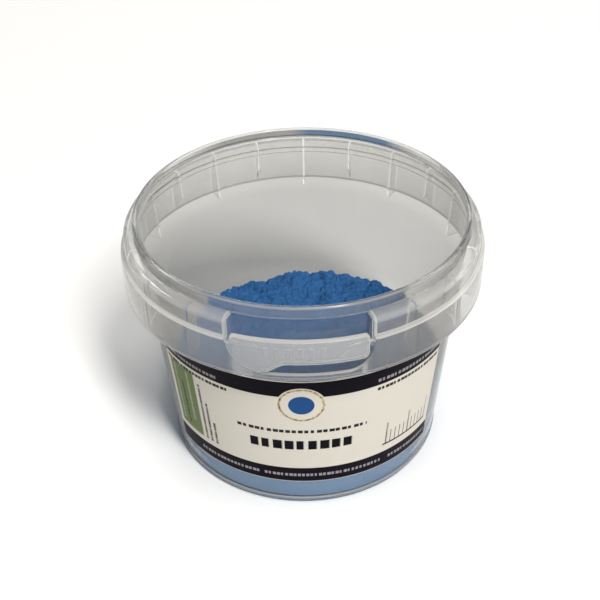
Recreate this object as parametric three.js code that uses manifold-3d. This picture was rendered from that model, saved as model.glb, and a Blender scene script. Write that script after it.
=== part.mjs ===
// A small translucent plastic tub with a tear-off tab, a paper label round its
// front, and a bed of blue azurite pigment powder in it. Millimetres, +Z up.
// The origin is on the tub's axis, at the level that its foot stands on. The
// tab and the middle of the label face -Y.

import * as THREE from "three";
import { mergeVertices } from "three/addons/utils/BufferGeometryUtils.js";
import Module from "manifold-3d";

const wasm = await Module();
wasm.setup();

// Driving dimensions of the tub's cup
const TUB_HEIGHT = 55.6;
const RIM_RADIUS = 34.5;
const FOOT_RADIUS = 29.5;
const WALL_SLOPE = 0.088;
const WALL_THICKNESS = 0.9;
const FLOOR_TOP = 2.3;
const FLOOR_THICKNESS = 0.9;
const FOOT_WIDTH = 1.0;
const FOOT_ROUNDING = 0.4;
const FLOOR_FILLET = 0.9;
const RIM_DEPTH = 2.5;
const RIM_ROUNDING = 0.5;

// Driving dimensions of the collar that hangs round the cup below its rim
const COLLAR_TOP = 53.0;
const COLLAR_BOTTOM = 41.0;
const COLLAR_RADIUS = 37.4;
const COLLAR_THICKNESS = 0.8;
const COLLAR_ROUNDING = 1.2;
const LEDGE_HEIGHT = 49.1;
const LEDGE_ROUNDING = 0.3;

// Driving dimensions of the ribs between the collar and the cup
const RIB_THICKNESS = 0.8;
const RIB_PITCH_DEG = 18;
const FIRST_RIB_DEG = 36;
const SHORT_RIB_BOTTOM = 45.3;

// Driving dimensions of the tear-off tab and the gap above it
const TAB_HALF_WIDTH = 12.8;
const TAB_TOP = 50.4;
const TAB_BOTTOM = 45.1;
const TAB_THICKNESS = 1.2;
const TAB_END_ROUNDING = 1.2;
const LOBE_CENTRE = [-6.5, 48.5];
const LOBE_REACH = [7.0, 5.7];
const GAP_HALF_ANGLE_DEG = 21.6;
const WINDOW_LEFT = -7.2;
const WINDOW_RIGHT = 13.4;
const WINDOW_BOTTOM = 42.3;
const WINDOW_ROUNDING = [4.9, 4.2];
const BRIDGE_SIZE = 0.9;

// Driving dimensions of the label
const LABEL_BOTTOM = 7.3;
const LABEL_TOP = 36.9;
const LABEL_HALF_ANGLE_DEG = 58.5;
const LABEL_THICKNESS = 0.25;
const LABEL_GAP = 0.15;

// Driving dimensions of the powder
const POWDER_LEVEL = 16.8;
const POWDER_TILT = 0.035;
const POWDER_LUMP = 0.85;
const POWDER_GAP = 0.3;

// Facets all the way round, and where a small rounding is stepped
const SEGMENTS = 80;
const ROUNDING_STEPS = 3;

const radians = THREE.MathUtils.degToRad;

// The cup's wall leans out by the same slope on both of its faces
function wallOutside(height) {
  return FOOT_RADIUS + WALL_SLOPE * height;
}

function wallInside(height) {
  return wallOutside(height) - WALL_THICKNESS;
}

// Points of an ellipse's arc in a profile, from one angle to another
function ovalArc(centre, reach, fromDeg, toDeg, steps = ROUNDING_STEPS) {
  const points = [];
  for (let step = 0; step <= steps; step += 1) {
    const angle = radians(fromDeg + ((toDeg - fromDeg) * step) / steps);
    points.push([centre[0] + reach[0] * Math.cos(angle), centre[1] + reach[1] * Math.sin(angle)]);
  }
  return points;
}

function arc(centreX, centreY, radius, fromDeg, toDeg, steps) {
  return ovalArc([centreX, centreY], [radius, radius], fromDeg, toDeg, steps);
}

function toSolid(geometry) {
  const bare = geometry.index ? geometry : geometry.clone();
  bare.deleteAttribute("normal");
  bare.deleteAttribute("uv");
  const merged = mergeVertices(bare, 1e-4);
  return new wasm.Manifold(new wasm.Mesh({
    numProp: 3,
    vertProperties: new Float32Array(merged.attributes.position.array),
    triVerts: new Uint32Array(merged.index.array),
  }));
}

function toGeometry(solid) {
  const mesh = solid.getMesh();
  const geometry = new THREE.BufferGeometry();
  geometry.setAttribute("position", new THREE.BufferAttribute(mesh.vertProperties, 3));
  geometry.setIndex(new THREE.BufferAttribute(mesh.triVerts, 1));
  geometry.computeVertexNormals();
  return geometry;
}

// A closed [radius, height] profile turned round the Z axis, starting at -Y
function turned(profile) {
  const points = profile.map(([radius, height]) => new THREE.Vector2(Math.max(radius, 0), height));
  const geometry = new THREE.LatheGeometry(points, SEGMENTS);
  geometry.rotateX(Math.PI / 2);
  return geometry;
}

// A flat outline in X and Y, raised along Z from one height to another
function raised(outline, fromHeight, toHeight) {
  const shape = new THREE.Shape(outline.map(([x, y]) => new THREE.Vector2(x, y)));
  const geometry = new THREE.ExtrudeGeometry(shape, { depth: toHeight - fromHeight, bevelEnabled: false });
  geometry.translate(0, 0, fromHeight);
  return geometry;
}

// A sector of a ring, seen from above, centred on -Y
function sector(innerRadius, outerRadius, halfAngleDeg, steps) {
  const outside = arc(0, 0, outerRadius, -90 - halfAngleDeg, -90 + halfAngleDeg, steps);
  const inside = arc(0, 0, innerRadius, -90 + halfAngleDeg, -90 - halfAngleDeg, steps);
  return [...outside, ...inside];
}

// An outline in X and Z as seen from the front, cut back through the collar
function frontPrism(outline, nearY, farY) {
  const geometry = raised(outline, 0, farY - nearY);
  geometry.rotateX(Math.PI / 2);
  geometry.translate(0, farY, 0);
  return toSolid(geometry);
}

// A thin radial plate with an outline in radius and height
function radialPlate(outline, angleDeg) {
  const geometry = raised(outline, -RIB_THICKNESS / 2, RIB_THICKNESS / 2);
  geometry.rotateX(Math.PI / 2);
  geometry.rotateZ(radians(angleDeg - 90));
  return toSolid(geometry);
}

function makeCup() {
  const underside = FLOOR_TOP - FLOOR_THICKNESS;
  const footInside = FOOT_RADIUS - FOOT_WIDTH;
  const rimBottom = TUB_HEIGHT - RIM_DEPTH;
  const rimInside = wallInside(TUB_HEIGHT);
  const filletCentre = wallInside(FLOOR_TOP + FLOOR_FILLET) - FLOOR_FILLET;
  return toSolid(turned([
    [0, underside],
    [footInside - FOOT_ROUNDING, underside],
    [footInside, 0],
    ...arc(FOOT_RADIUS - FOOT_ROUNDING, FOOT_ROUNDING, FOOT_ROUNDING, -90, 0, 2),
    [wallOutside(rimBottom), rimBottom - RIM_ROUNDING / 2],
    [RIM_RADIUS, rimBottom + RIM_ROUNDING / 2],
    ...arc(RIM_RADIUS - RIM_ROUNDING, TUB_HEIGHT - RIM_ROUNDING, RIM_ROUNDING, 0, 90),
    [rimInside, TUB_HEIGHT - RIM_ROUNDING],
    ...arc(filletCentre, FLOOR_TOP + FLOOR_FILLET, FLOOR_FILLET, 0, -90),
    [0, FLOOR_TOP],
  ]));
}

function makeCollar() {
  const upperOutside = COLLAR_RADIUS - COLLAR_THICKNESS;
  const upperInside = upperOutside - COLLAR_THICKNESS;
  const underFlange = COLLAR_TOP - COLLAR_THICKNESS;
  const underLedge = LEDGE_HEIGHT - COLLAR_THICKNESS;
  const insideWall = wallInside(COLLAR_TOP) + WALL_THICKNESS / 2;
  const profile = [
    [insideWall, underFlange],
    [upperInside, underFlange],
    [upperInside, underLedge],
    [upperOutside, underLedge],
    [upperOutside, COLLAR_BOTTOM],
    [COLLAR_RADIUS, COLLAR_BOTTOM],
    ...arc(COLLAR_RADIUS - LEDGE_ROUNDING, LEDGE_HEIGHT - LEDGE_ROUNDING, LEDGE_ROUNDING, 0, 90, 2),
    [upperOutside, LEDGE_HEIGHT],
    ...arc(upperOutside - COLLAR_ROUNDING, COLLAR_TOP - COLLAR_ROUNDING, COLLAR_ROUNDING, 0, 90),
    [insideWall, COLLAR_TOP],
    [insideWall, underFlange],
  ];
  const gap = toSolid(raised(
    sector(insideWall - WALL_THICKNESS, COLLAR_RADIUS + 1, GAP_HALF_ANGLE_DEG, 12),
    LEDGE_HEIGHT - COLLAR_THICKNESS,
    COLLAR_TOP + 1,
  ));
  const window = frontPrism([
    [WINDOW_LEFT, WINDOW_BOTTOM],
    ...ovalArc([WINDOW_RIGHT - WINDOW_ROUNDING[0], WINDOW_BOTTOM + WINDOW_ROUNDING[1]],
      WINDOW_ROUNDING, -90, 0, 5),
    [WINDOW_RIGHT, LEDGE_HEIGHT + 1],
    [WINDOW_LEFT, LEDGE_HEIGHT + 1],
  ], -COLLAR_RADIUS - 1, -wallOutside(LEDGE_HEIGHT) - 0.2);
  return toSolid(turned(profile)).subtract(gap).subtract(window);
}

// Long ribs reach down to the collar's edge on the cup's wall. Every second rib
// leaves the wall higher up and slants out to the edge.
function ribOutline(isLong) {
  const rootTop = wallOutside(COLLAR_TOP) - WALL_THICKNESS / 2;
  const upper = COLLAR_RADIUS - 1.5 * COLLAR_THICKNESS;
  const lower = COLLAR_RADIUS - COLLAR_THICKNESS / 2;
  const top = COLLAR_TOP - COLLAR_THICKNESS / 2;
  const ledge = LEDGE_HEIGHT - COLLAR_THICKNESS / 2;
  const foot = COLLAR_BOTTOM + 0.2;
  const outside = [[rootTop, top], [upper, top], [upper, ledge], [lower, ledge], [lower, foot]];
  if (isLong) {
    return [...outside, [wallOutside(foot) - WALL_THICKNESS / 2, foot]];
  }
  const root = wallOutside(SHORT_RIB_BOTTOM) - WALL_THICKNESS / 2;
  return [...outside, [lower - COLLAR_THICKNESS / 2, foot], [root + 1.2, SHORT_RIB_BOTTOM],
    [root, SHORT_RIB_BOTTOM]];
}

function makeRibs() {
  const ribs = [];
  for (let angle = FIRST_RIB_DEG; angle <= 360 - FIRST_RIB_DEG; angle += RIB_PITCH_DEG) {
    const isLong = angle % (2 * RIB_PITCH_DEG) === 0;
    ribs.push(radialPlate(ribOutline(isLong), angle));
  }
  for (const side of [-1, 1]) {
    ribs.push(radialPlate(ribOutline(true), side * (GAP_HALF_ANGLE_DEG + 0.3)));
  }
  return ribs;
}

// The tab is a thicker curved plate in front of the window. Its left lobe runs
// down into the collar, and a small bridge holds its right end.
function makeTab() {
  const outside = COLLAR_RADIUS + 0.5;
  const front = -outside - 1;
  const back = 3 - COLLAR_RADIUS;
  const lobeBottom = LOBE_CENTRE[1] - LOBE_REACH[1];
  const plate = toSolid(raised(
    sector(outside - TAB_THICKNESS, outside, GAP_HALF_ANGLE_DEG, 12), lobeBottom, TAB_TOP));
  const outline = [
    [-TAB_HALF_WIDTH, TAB_TOP + 1],
    [-TAB_HALF_WIDTH, LOBE_CENTRE[1]],
    ...ovalArc(LOBE_CENTRE, LOBE_REACH, 180, 265, 8),
    [LOBE_CENTRE[0] + 1.6, TAB_BOTTOM - 0.5],
    [LOBE_CENTRE[0] + 2.9, TAB_BOTTOM],
    ...arc(TAB_HALF_WIDTH - TAB_END_ROUNDING, TAB_BOTTOM + TAB_END_ROUNDING, TAB_END_ROUNDING, -90, 0),
    [TAB_HALF_WIDTH, TAB_TOP + 1],
  ];
  const tab = plate.intersect(frontPrism(outline, front, back));
  const bridgeTop = LOBE_CENTRE[1];
  const hoop = toSolid(raised(
    sector(COLLAR_RADIUS - COLLAR_THICKNESS, COLLAR_RADIUS, GAP_HALF_ANGLE_DEG + 1, 12),
    bridgeTop - BRIDGE_SIZE, bridgeTop));
  const bridgeEnd = frontPrism([
    [TAB_HALF_WIDTH - BRIDGE_SIZE, 0],
    [TAB_HALF_WIDTH + BRIDGE_SIZE, 0],
    [TAB_HALF_WIDTH + BRIDGE_SIZE, TAB_TOP],
    [TAB_HALF_WIDTH - BRIDGE_SIZE, TAB_TOP],
  ], front, back);
  return tab.add(hoop.intersect(bridgeEnd));
}

function makeTub() {
  let tub = makeCup().add(makeCollar());
  for (const rib of makeRibs()) {
    tub = tub.add(rib);
  }
  return toGeometry(tub.add(makeTab()));
}

function makeLabel() {
  const inside = (height) => wallOutside(height) + LABEL_GAP;
  const ring = toSolid(turned([
    [inside(LABEL_BOTTOM), LABEL_BOTTOM],
    [inside(LABEL_BOTTOM) + LABEL_THICKNESS, LABEL_BOTTOM],
    [inside(LABEL_TOP) + LABEL_THICKNESS, LABEL_TOP],
    [inside(LABEL_TOP), LABEL_TOP],
    [inside(LABEL_BOTTOM), LABEL_BOTTOM],
  ]));
  const reach = toSolid(raised(
    sector(FOOT_RADIUS / 2, COLLAR_RADIUS, LABEL_HALF_ANGLE_DEG, 13), 0, COLLAR_BOTTOM));
  return toGeometry(ring.intersect(reach));
}

// The powder's surface: nearly level, a little higher on the right, with clods
// that stand out most towards the wall at the back
function powderHeight(x, y) {
  const reach = Math.hypot(x, y) / wallInside(POWDER_LEVEL);
  const broad = Math.sin(0.23 * x + 1.3) * Math.cos(0.19 * y - 0.4);
  const clods = Math.sin(0.71 * x + 0.9 * Math.sin(0.4 * y)) * Math.sin(0.63 * y + 1.7 * Math.sin(0.33 * x));
  const roughness = 0.5 + 0.5 * reach * reach;
  return POWDER_LEVEL + POWDER_TILT * x + POWDER_LUMP * (0.5 * broad + roughness * clods);
}

function makePowder() {
  const bottom = FLOOR_TOP + POWDER_GAP;
  const filletTop = bottom + FLOOR_FILLET;
  const inside = (height) => wallInside(height) - POWDER_GAP;
  const rings = 12;
  const profile = [
    [0, bottom],
    [inside(filletTop) - FLOOR_FILLET, bottom],
    [inside(filletTop), filletTop],
  ];
  for (let ring = rings; ring >= 0; ring -= 1) {
    profile.push([(inside(POWDER_LEVEL) * ring) / rings, POWDER_LEVEL]);
  }
  const geometry = turned(profile);
  const position = geometry.attributes.position;
  const edge = inside(POWDER_LEVEL) - 0.01;
  for (let index = 0; index < position.count; index += 1) {
    const x = position.getX(index);
    const y = position.getY(index);
    if (position.getZ(index) > filletTop + 1) {
      const height = powderHeight(x, y);
      const fit = Math.hypot(x, y) > edge ? inside(height) / inside(POWDER_LEVEL) : 1;
      position.setXYZ(index, x * fit, y * fit, height);
    }
  }
  return toGeometry(toSolid(geometry));
}

const polypropylene = new THREE.MeshStandardMaterial({
  name: "translucent polypropylene",
  color: 0xc9c8c2,
  roughness: 0.3,
  metalness: 0,
  transparent: true,
  opacity: 0.45,
});
const paper = new THREE.MeshStandardMaterial({
  name: "coated label paper",
  color: 0xe4dfd2,
  roughness: 0.55,
  metalness: 0,
});
const azurite = new THREE.MeshStandardMaterial({
  name: "azurite powder",
  color: 0x285584,
  roughness: 0.95,
  metalness: 0,
});

function piece(name, geometry, material) {
  const mesh = new THREE.Mesh(geometry, material);
  mesh.name = name;
  return mesh;
}

const object = new THREE.Group();
object.add(
  piece("tub", makeTub(), polypropylene),
  piece("label", makeLabel(), paper),
  piece("pigment", makePowder(), azurite),
);

export default object;
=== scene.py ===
import math

import bmesh
import bpy
from mathutils import Matrix, Vector, noise


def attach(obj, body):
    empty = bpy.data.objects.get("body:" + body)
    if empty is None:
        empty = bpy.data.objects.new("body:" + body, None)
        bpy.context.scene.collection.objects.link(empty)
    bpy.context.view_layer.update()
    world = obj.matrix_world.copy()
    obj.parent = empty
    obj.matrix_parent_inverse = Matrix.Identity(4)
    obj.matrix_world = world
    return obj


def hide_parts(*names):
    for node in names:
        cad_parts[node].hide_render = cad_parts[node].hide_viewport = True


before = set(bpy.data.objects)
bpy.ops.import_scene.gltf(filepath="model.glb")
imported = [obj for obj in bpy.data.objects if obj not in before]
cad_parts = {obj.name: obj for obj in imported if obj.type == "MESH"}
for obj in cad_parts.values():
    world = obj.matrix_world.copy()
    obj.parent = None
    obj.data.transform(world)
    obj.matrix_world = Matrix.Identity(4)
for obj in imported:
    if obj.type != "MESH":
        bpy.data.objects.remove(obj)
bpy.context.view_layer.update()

# Camera. The tub is seen from in front and above, turned a little to its own
# right, as in the photograph.
VIEW_TURN = math.radians(1.7)
VIEW_DOWN = math.radians(36.819)
VIEW_ROLL = math.radians(-1.186)
VIEW_DISTANCE = 0.227843
AIM_ACROSS = -0.000782
AIM_HEIGHT = 0.031685
LENS_LENGTH = 63.0
FILM_WIDTH = 36.0

camera_data = bpy.data.cameras.new("camera")
camera_data.lens = LENS_LENGTH
camera_data.sensor_width = FILM_WIDTH
camera_data.clip_start = 0.01
camera_data.clip_end = 50.0
camera = bpy.data.objects.new("camera", camera_data)
bpy.context.scene.collection.objects.link(camera)
towards_camera = Vector((math.sin(VIEW_TURN) * math.cos(VIEW_DOWN),
                         -math.cos(VIEW_TURN) * math.cos(VIEW_DOWN),
                         math.sin(VIEW_DOWN)))
level_right = Vector((math.cos(VIEW_TURN), math.sin(VIEW_TURN), 0.0))
level_up = towards_camera.cross(level_right)
right = level_right * math.cos(VIEW_ROLL) + level_up * math.sin(VIEW_ROLL)
up = level_up * math.cos(VIEW_ROLL) - level_right * math.sin(VIEW_ROLL)
place = level_right * AIM_ACROSS + Vector((0.0, 0.0, AIM_HEIGHT)) + towards_camera * VIEW_DISTANCE
camera.matrix_world = Matrix((
    (right.x, up.x, towards_camera.x, place.x),
    (right.y, up.y, towards_camera.y, place.y),
    (right.z, up.z, towards_camera.z, place.z),
    (0.0, 0.0, 0.0, 1.0),
))
bpy.context.scene.camera = camera

# Floor and light. A plain matt white table under a pale sky. Two large soft
# lamps, in front at the right and overhead, light it, and two small ones at the
# left and the back draw the plastic's highlights.
scene = bpy.context.scene
scene.view_settings.view_transform = "Standard"
scene.cycles.max_bounces = 24
scene.cycles.caustics_reflective = False
scene.cycles.transmission_bounces = 20
scene.cycles.glossy_bounces = 8
scene.cycles.diffuse_bounces = 5

# the sky is faint on matt faces and strong through the plastic, and a reflection
# gets a share of the difference
SKY_ON_MATT_FACES = 0.07
SKY_THROUGH_PLASTIC = 0.70
REFLECTED_SHARE = 0.35

sky = bpy.data.worlds.new("pale sky")
sky.use_nodes = True
background = sky.node_tree.nodes["Background"].inputs
background["Color"].default_value = (1.0, 0.995, 0.985, 1.0)
seen_by = sky.node_tree.nodes.new("ShaderNodeLightPath")
strength = sky.node_tree.nodes.new("ShaderNodeMapRange")
strength.inputs["To Min"].default_value = SKY_ON_MATT_FACES
strength.inputs["To Max"].default_value = SKY_THROUGH_PLASTIC
either_ray = sky.node_tree.nodes.new("ShaderNodeMath")
either_ray.operation = "MULTIPLY_ADD"
sky.node_tree.links.new(seen_by.outputs["Is Glossy Ray"], either_ray.inputs[0])
either_ray.inputs[1].default_value = REFLECTED_SHARE
sky.node_tree.links.new(seen_by.outputs["Is Transmission Ray"], either_ray.inputs[2])
sky.node_tree.links.new(either_ray.outputs[0], strength.inputs["Value"])
sky.node_tree.links.new(strength.outputs["Result"], background["Strength"])
scene.world = sky


def soft_lamp(name, place, aim_height, size, watts, colour):
    """A rectangular lamp that points at a height on the tub's axis."""
    data = bpy.data.lights.new(name, "AREA")
    data.shape = "RECTANGLE"
    data.size, data.size_y = size
    data.energy = watts
    data.color = colour
    lamp = bpy.data.objects.new(name, data)
    scene.collection.objects.link(lamp)
    away = (Vector(place) - Vector((0.0, 0.0, aim_height))).normalized()
    lamp.matrix_world = Matrix.Translation(place) @ away.to_track_quat("Z", "Y").to_matrix().to_4x4()
    return lamp


soft_lamp("window light", (0.622, -1.169, 1.757), 0.02, (0.36, 0.84), 46.6, (1.0, 0.99, 0.97))
soft_lamp("ceiling light", (0.191, -0.374, 2.160), 0.02, (0.80, 0.70), 14.2, (1.0, 0.995, 0.98))
left_glint = soft_lamp("left glint", (-0.533, 0.143, 0.431), 0.05, (0.26, 0.16), 1.6, (0.90, 0.96, 1.0))
left_glint.visible_diffuse = False
soft_lamp("back glint", (-0.10, 0.75, 0.50), 0.05, (0.50, 0.22), 1.2, (0.97, 0.99, 1.0))

FLOOR_SIDE = 8.0
floor_mesh = bpy.data.meshes.new("floor")
table = bmesh.new()
bmesh.ops.create_grid(table, x_segments=1, y_segments=1, size=FLOOR_SIDE / 2)
table.to_mesh(floor_mesh)
table.free()
floor = bpy.data.objects.new("floor", floor_mesh)
scene.collection.objects.link(floor)
floor_paint = bpy.data.materials.new("matt white table")
floor_paint.use_nodes = True
floor_shader = floor_paint.node_tree.nodes["Principled BSDF"]
floor_shader.inputs["Base Color"].default_value = (0.93, 0.925, 0.915, 1.0)
floor_shader.inputs["Roughness"].default_value = 0.85
floor_shader.inputs["Specular IOR Level"].default_value = 0.1
floor_mesh.materials.append(floor_paint)

# Cup. One thin wall of translucent polypropylene, injection moulded, with a
# raised floor on a foot ring and a square bead round the mouth.
MM = 0.001  # the lengths of shapes from here on are in millimetres
TUB_HEIGHT = 55.6
RIM_RADIUS = 34.5
FOOT_RADIUS = 29.5
WALL_SLOPE = 0.088
WALL_THICKNESS = 0.9
FLOOR_TOP = 1.3
FLOOR_THICKNESS = 0.7
FOOT_WIDTH = 1.0
FOOT_INSET = 0.2
RIDGE_HEIGHTS = 1.3, 1.8
RIDGE_START = RIDGE_HEIGHTS[0] - 0.15
RIDGE_END = RIDGE_HEIGHTS[1] + 0.2
RIDGE_REACH = 0.2
RIM_DEPTH = 2.5
BEAD_FALL_INSIDE, BEAD_RISE_OUTSIDE = 0.25, 0.15
BEAD_LINE = 53.9
TURN_STEPS = 240
# edges sharper than this stay crisp
SHARPEST_SMOOTH = math.radians(32)


def wall_outside(height):
    return FOOT_RADIUS + WALL_SLOPE * height


def wall_inside(height):
    return wall_outside(height) - WALL_THICKNESS


def around(vert):
    """Degrees round the tub from the middle of its front, to the right."""
    return math.degrees(math.atan2(vert.co.x, -vert.co.y))


def turned(corners, roundings, closed):
    """Turns [radius, height] corners round the tub's axis, then rounds each ring
    that has a [radius of rounding, steps]."""
    solid = bmesh.new()
    line = [solid.verts.new((0.0, -radius * MM, height * MM)) for radius, height in corners]
    for start, end in zip(line, line[1:] + line[:1] if closed else line[1:]):
        solid.edges.new((start, end))
    bmesh.ops.spin(solid, geom=solid.verts[:] + solid.edges[:], cent=(0, 0, 0), axis=(0, 0, 1),
                   angle=math.tau, steps=TURN_STEPS, use_merge=True)
    bmesh.ops.remove_doubles(solid, verts=solid.verts, dist=1e-6)
    for (radius, height), (size, steps) in zip(corners, roundings):
        if not size:
            continue
        ring = [edge for edge in solid.edges if all(
            abs(vert.co.z - height * MM) < 2e-6 and
            abs(math.hypot(vert.co.x, vert.co.y) - radius * MM) < 2e-6 for vert in edge.verts)]
        bmesh.ops.bevel(solid, geom=ring, offset=size * MM, offset_type="OFFSET", segments=steps,
                        profile=0.5, affect="EDGES", material=-1)
    bmesh.ops.recalc_face_normals(solid, faces=solid.faces)
    return solid


def as_object(solid, name):
    mesh = bpy.data.meshes.new(name)
    solid.to_mesh(mesh)
    solid.free()
    made = bpy.data.objects.new(name, mesh)
    scene.collection.objects.link(made)
    return made


underside = FLOOR_TOP - FLOOR_THICKNESS
rim_bottom = TUB_HEIGHT - RIM_DEPTH
# each corner is [radius, height], [radius of rounding, steps]
cup_line = [
    ([0.0, underside], [0, 0]),
    ([FOOT_RADIUS - FOOT_WIDTH, underside], [0.3, 2]),
    ([FOOT_RADIUS - FOOT_WIDTH, 0.0], [0.25, 2]),
    ([FOOT_RADIUS - FOOT_INSET, 0.0], [0.4, 3]),
    ([FOOT_RADIUS - FOOT_INSET, RIDGE_START], [0, 0]),
    ([wall_outside(RIDGE_HEIGHTS[0]) + RIDGE_REACH, RIDGE_HEIGHTS[0]], [0.08, 2]),
    ([wall_outside(RIDGE_HEIGHTS[1]) + RIDGE_REACH, RIDGE_HEIGHTS[1]], [0.15, 3]),
    ([wall_outside(RIDGE_END), RIDGE_END], [0, 0]),
    ([wall_outside(rim_bottom - BEAD_FALL_INSIDE), rim_bottom - BEAD_FALL_INSIDE], [0.15, 2]),
    ([RIM_RADIUS, rim_bottom + BEAD_RISE_OUTSIDE], [0.2, 2]),
    ([RIM_RADIUS, TUB_HEIGHT], [0.55, 5]),
    ([wall_inside(TUB_HEIGHT), TUB_HEIGHT], [0.3, 3]),
    ([wall_inside(BEAD_LINE), BEAD_LINE], [0, 0]),
    ([wall_inside(FLOOR_TOP), FLOOR_TOP], [0.45, 4]),
    ([0.0, FLOOR_TOP], [0, 0]),
]
cup = as_object(turned([at for at, _ in cup_line], [size for _, size in cup_line], False), "cup")

# Collar. A stepped skirt moulded in one with the cup, which hangs round it just
# below the bead and holds the lid's seal ring. It has a gap and a window in front.
COLLAR_TOP = 53.0
COLLAR_BOTTOM = 41.0
COLLAR_RADIUS = 37.4
COLLAR_THICKNESS = 0.8
LEDGE_HEIGHT = 49.1
GAP_HALF_ANGLE = 21.6
WINDOW_LEFT, WINDOW_RIGHT, WINDOW_BOTTOM = -7.2, 13.4, 42.3
TEAR_ANGLE, TEAR_HALF_ANGLE, TEAR_DEPTH, TEAR_TOP = 25.4, 0.16, 0.2, 47.8
MOULD_PART_ANGLE = 54.0
MOULD_PART_RAMP = 0.25
MOULD_PART_STEP = 0.07
CUT_MARGIN = 1

collar_root = wall_inside(COLLAR_TOP) + WALL_THICKNESS / 2
upper_outside = COLLAR_RADIUS - COLLAR_THICKNESS
upper_inside = upper_outside - COLLAR_THICKNESS
collar_line = [
    ([collar_root, COLLAR_TOP - COLLAR_THICKNESS], [0, 0]),
    ([upper_inside, COLLAR_TOP - COLLAR_THICKNESS], [0.5, 3]),
    ([upper_inside, LEDGE_HEIGHT - COLLAR_THICKNESS], [0.2, 2]),
    ([upper_outside, LEDGE_HEIGHT - COLLAR_THICKNESS], [0.3, 2]),
    ([upper_outside, COLLAR_BOTTOM], [0.2, 2]),
    ([COLLAR_RADIUS, COLLAR_BOTTOM], [0.2, 2]),
    ([COLLAR_RADIUS, LEDGE_HEIGHT], [0.35, 3]),
    ([upper_outside, LEDGE_HEIGHT], [0.25, 2]),
    ([upper_outside, COLLAR_TOP], [1.2, 8]),
    ([collar_root, COLLAR_TOP], [0, 0]),
]
collar_solid = turned([at for at, _ in collar_line], [size for _, size in collar_line], True)

# the mould's front half meets the back half in a fine step on each side, so the
# skirt's outside stands out a little between them
for side in (-1, 1):
    for edge_of_step in (MOULD_PART_ANGLE, MOULD_PART_ANGLE + MOULD_PART_RAMP):
        angle = math.radians(edge_of_step) * side
        everything = collar_solid.verts[:] + collar_solid.edges[:] + collar_solid.faces[:]
        bmesh.ops.bisect_plane(collar_solid, geom=everything, dist=1e-7, plane_co=(0, 0, 0),
                               plane_no=(math.cos(angle), math.sin(angle), 0))
for vert in collar_solid.verts:
    reach = math.hypot(vert.co.x, vert.co.y)
    on_outside = reach > (upper_outside - 1.3) * MM and abs(reach - upper_inside * MM) > 0.6 * MM
    over_lower_edge = vert.co.z > (COLLAR_BOTTOM + 0.3) * MM
    if abs(around(vert)) < MOULD_PART_ANGLE + 0.1 and on_outside and over_lower_edge:
        vert.co.xy *= 1 + MOULD_PART_STEP * MM / reach
collar = as_object(collar_solid, "collar")


def front_prism(outline, near, far):
    """An outline in X and Z, as seen from the front, made solid from near to far."""
    solid = bmesh.new()
    face = solid.faces.new([solid.verts.new((x * MM, near * MM, z * MM)) for x, z in outline])
    grown = bmesh.ops.extrude_face_region(solid, geom=[face])
    moved = [item for item in grown["geom"] if isinstance(item, bmesh.types.BMVert)]
    bmesh.ops.translate(solid, verts=moved, vec=(0, (far - near) * MM, 0))
    bmesh.ops.recalc_face_normals(solid, faces=solid.faces)
    return solid


def turned_block(corners, half_angle, steps, middle=0.0):
    """Turns a closed [radius, height] outline through part of a circle only."""
    solid = bmesh.new()
    line = [solid.verts.new((0.0, -radius * MM, height * MM)) for radius, height in corners]
    face = solid.faces.new(line)
    bmesh.ops.rotate(solid, verts=solid.verts, cent=(0, 0, 0),
                     matrix=Matrix.Rotation(math.radians(middle - half_angle), 3, "Z"))
    bmesh.ops.spin(solid, geom=[face] + face.edges[:] + line, cent=(0, 0, 0), axis=(0, 0, 1),
                   angle=math.radians(2 * half_angle), steps=steps, use_merge=False)
    bmesh.ops.remove_doubles(solid, verts=solid.verts, dist=1e-7)
    bmesh.ops.recalc_face_normals(solid, faces=solid.faces)
    return solid


def rounded_corner(solid, x, z, size, steps):
    """Rounds the edge that runs from front to back at one corner of a prism."""
    corner = [edge for edge in solid.edges if all(
        abs(vert.co.x - x * MM) < 1e-6 and abs(vert.co.z - z * MM) < 1e-6 for vert in edge.verts)]
    bmesh.ops.bevel(solid, geom=corner, offset=size * MM, offset_type="OFFSET", segments=steps,
                    profile=0.5, affect="EDGES", material=-1)


gap = as_object(turned_block(
    [(collar_root - CUT_MARGIN, LEDGE_HEIGHT - COLLAR_THICKNESS),
     (COLLAR_RADIUS + CUT_MARGIN, LEDGE_HEIGHT - COLLAR_THICKNESS),
     (COLLAR_RADIUS + CUT_MARGIN, COLLAR_TOP + CUT_MARGIN),
     (collar_root - CUT_MARGIN, COLLAR_TOP + CUT_MARGIN)], GAP_HALF_ANGLE, 37), "gap")
window_solid = front_prism(
    [(WINDOW_LEFT, WINDOW_BOTTOM), (WINDOW_RIGHT, WINDOW_BOTTOM),
     (WINDOW_RIGHT, LEDGE_HEIGHT + CUT_MARGIN), (WINDOW_LEFT, LEDGE_HEIGHT + CUT_MARGIN)],
    -COLLAR_RADIUS - CUT_MARGIN, -wall_outside(LEDGE_HEIGHT) - 0.2)
rounded_corner(window_solid, WINDOW_RIGHT, WINDOW_BOTTOM, 4.4, 10)
window = as_object(window_solid, "window")


def cut_or_join(target, others, how):
    """Cuts the others out of the target or joins them to it, one after another,
    and takes them away."""
    for other in others:
        step = target.modifiers.new(other.name, "BOOLEAN")
        step.operation = how
        step.solver = "EXACT"
        step.object = other
    bpy.context.view_layer.update()
    result = bpy.data.meshes.new_from_object(target.evaluated_get(bpy.context.evaluated_depsgraph_get()))
    target.modifiers.clear()
    target.data = result
    for other in others:
        bpy.data.objects.remove(other)


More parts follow.
